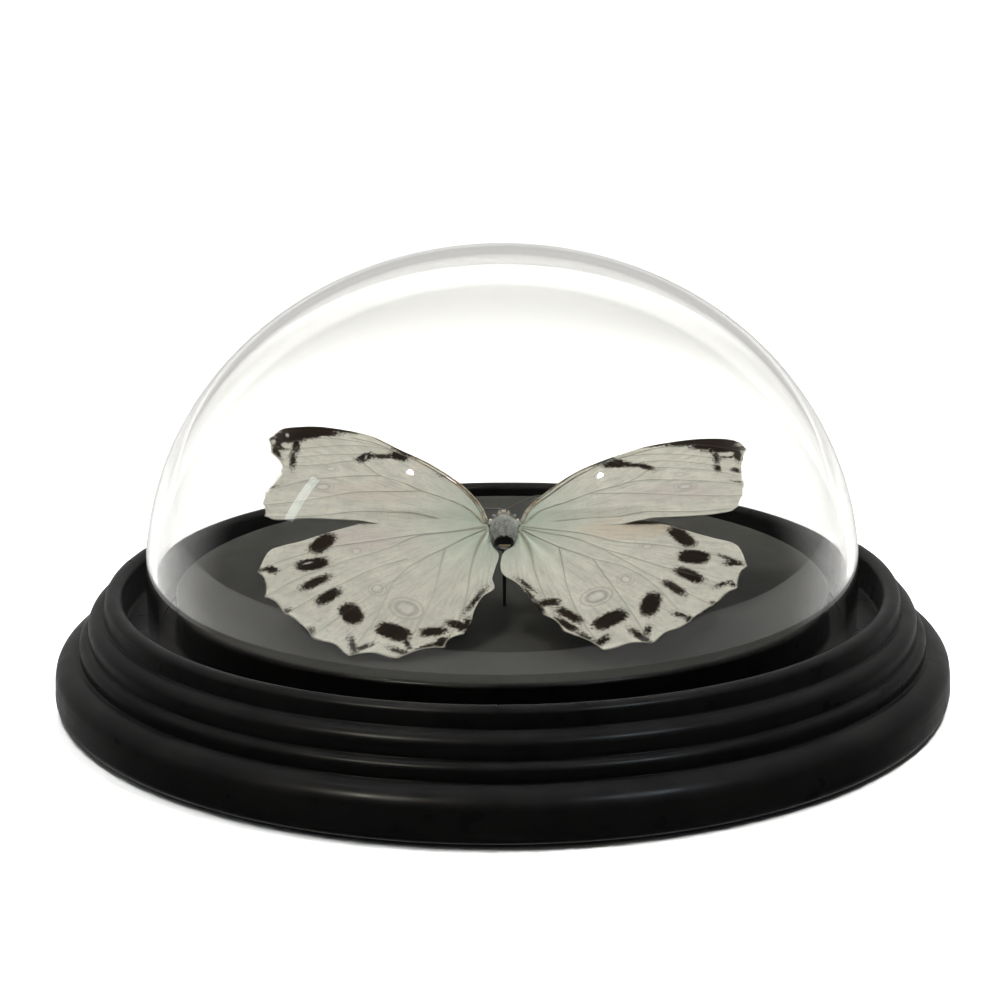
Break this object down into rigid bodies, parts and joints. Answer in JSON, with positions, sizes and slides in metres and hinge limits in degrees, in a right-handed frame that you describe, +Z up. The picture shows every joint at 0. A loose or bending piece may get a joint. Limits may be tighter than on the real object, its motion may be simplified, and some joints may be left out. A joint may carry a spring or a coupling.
{
  "type": "butterfly dome",
  "caption": "White morpho butterfly mounted open-winged on a pin under a low clear glass dome, which rests in the groove of a round black turned base.",
  "frame": {"origin": "centre of the underside, on the surface that the base stands on", "axes": "+Z up through the dome; +Y the way the butterfly's head points; +X to the right of the picture"},
  "size_m": [0.2232, 0.2232, 0.1093],
  "materials": {
    "black_paint": "turned wood under satin black paint",
    "felt": "black felt",
    "dome_glass": "clear blown glass",
    "pin_steel": "blackened steel pin",
    "body_fur": "dry grey-blue insect hair",
    "head_fur": "dry buff insect hair",
    "antenna_horn": "dark horny cuticle",
    "wing_scales": "greenish white wing scales with brown-black marks"
  },
  "bodies": {
    "root": {"turned_base": "black_paint", "felt_pad": "felt", "glass_dome": "dome_glass", "mounting_pin": "pin_steel", "thorax": "body_fur", "head": "head_fur", "antenna_left": "antenna_horn", "antenna_right": "antenna_horn", "forewing_left": "wing_scales", "forewing_right": "wing_scales", "hindwing_left": "wing_scales", "hindwing_right": "wing_scales"}
  },
  "joints": []
}
